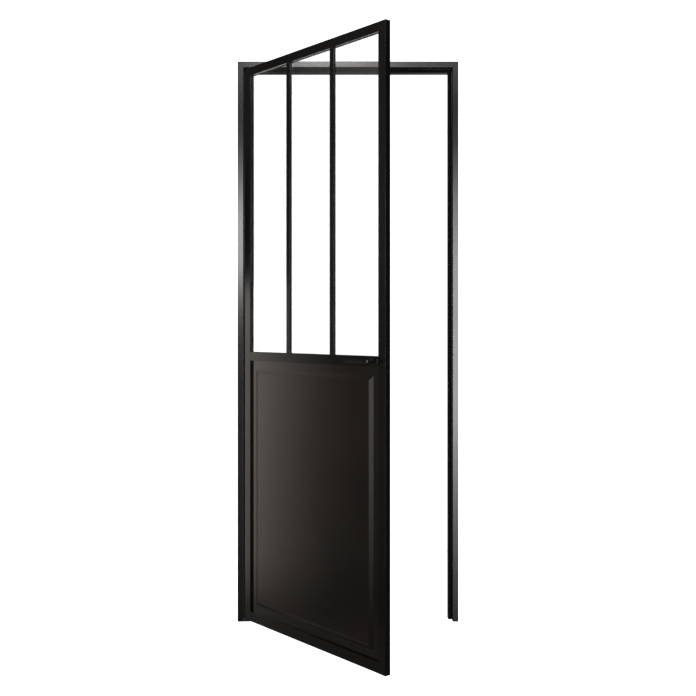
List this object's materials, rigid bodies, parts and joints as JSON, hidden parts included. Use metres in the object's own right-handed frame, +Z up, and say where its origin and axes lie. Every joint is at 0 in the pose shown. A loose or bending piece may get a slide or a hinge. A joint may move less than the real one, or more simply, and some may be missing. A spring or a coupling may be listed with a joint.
{
  "type": "steel-framed glass door with raised lower panel",
  "caption": "Black steel door in its hollow frame: a glazed upper part with slim bars, a raised panel below, a lever handle, and a leaf on head and foot pivots.",
  "frame": {"origin": "floor level on the hinge jamb's outer face, in line with the front faces of the frame", "axes": "+X across the doorway from the hinge jamb to the lock jamb, +Y from the side the leaf opens to through the wall, +Z up"},
  "size_m": [0.82, 0.6366, 2.08],
  "materials": {
    "black_frame": "satin",
    "black_leaf": "satin",
    "dark_metal": "satin",
    "handle_black": "satin",
    "clear_glass": "polished",
    "glazing_tape": "matte",
    "seal_rubber": "matte",
    "washer_plastic": "matte",
    "cap_plastic": "matte"
  },
  "bodies": {
    "frame": {"foot_pivot": "dark_metal", "head": "black_frame", "head_pivot_plate": "dark_metal", "head_seal": "seal_rubber", "hinge_jamb": "black_frame", "hinge_side_seal": "seal_rubber", "lock_jamb": "black_frame", "lock_side_seal": "seal_rubber", "pivot_washer": "washer_plastic", "strike_plate": "dark_metal"},
    "leaf": {"bottom_rail": "black_leaf", "centre_pane": "clear_glass", "centre_tape": "glazing_tape", "faceplate": "dark_metal", "front_rosette": "handle_black", "hinge_side_bead": "black_leaf", "hinge_side_glazing_bar": "black_leaf", "hinge_side_pane": "clear_glass", "hinge_side_rear_cap": "black_leaf", "hinge_side_tape": "glazing_tape", "hinge_stile": "black_leaf", "latch_bolt": "dark_metal", "latch_case": "dark_metal", "lock_side_bead": "black_leaf", "lock_side_glazing_bar": "black_leaf", "lock_side_pane": "clear_glass", "lock_side_rear_cap": "black_leaf", "lock_side_tape": "glazing_tape", "lock_stile": "black_leaf", "lower_pivot_block": "dark_metal", "lower_stile_cap": "cap_plastic", "mid_rail": "black_leaf", "panel_front_bead": "black_leaf", "panel_front_skin": "black_leaf", "panel_rear_bead": "black_leaf", "panel_rear_skin": "black_leaf", "rear_rosette": "handle_black", "sill_bead": "black_leaf", "top_bead": "black_leaf", "top_rail": "black_leaf", "upper_pivot_block": "dark_metal", "upper_stile_cap": "cap_plastic"},
    "lever": {"front_lever": "handle_black", "rear_lever": "handle_black", "spindle": "dark_metal"}
  },
  "joints": [
    {"name": "leaf_pivot", "type": "hinge", "parent": "frame", "child": "leaf", "pos_m": [0.037, 0.007, 0], "axis": [0, 0, -1], "range_deg": [-50, 55]},
    {"name": "lever_turn", "type": "hinge", "parent": "leaf", "child": "lever", "pos_m": [0.49413, -0.53234, 0.987], "axis": [-0.766, -0.6428, 0], "range_deg": [0, 40], "stiffness_Nm_per_rad": 0.8, "springref_deg": -34.38}
  ]
}
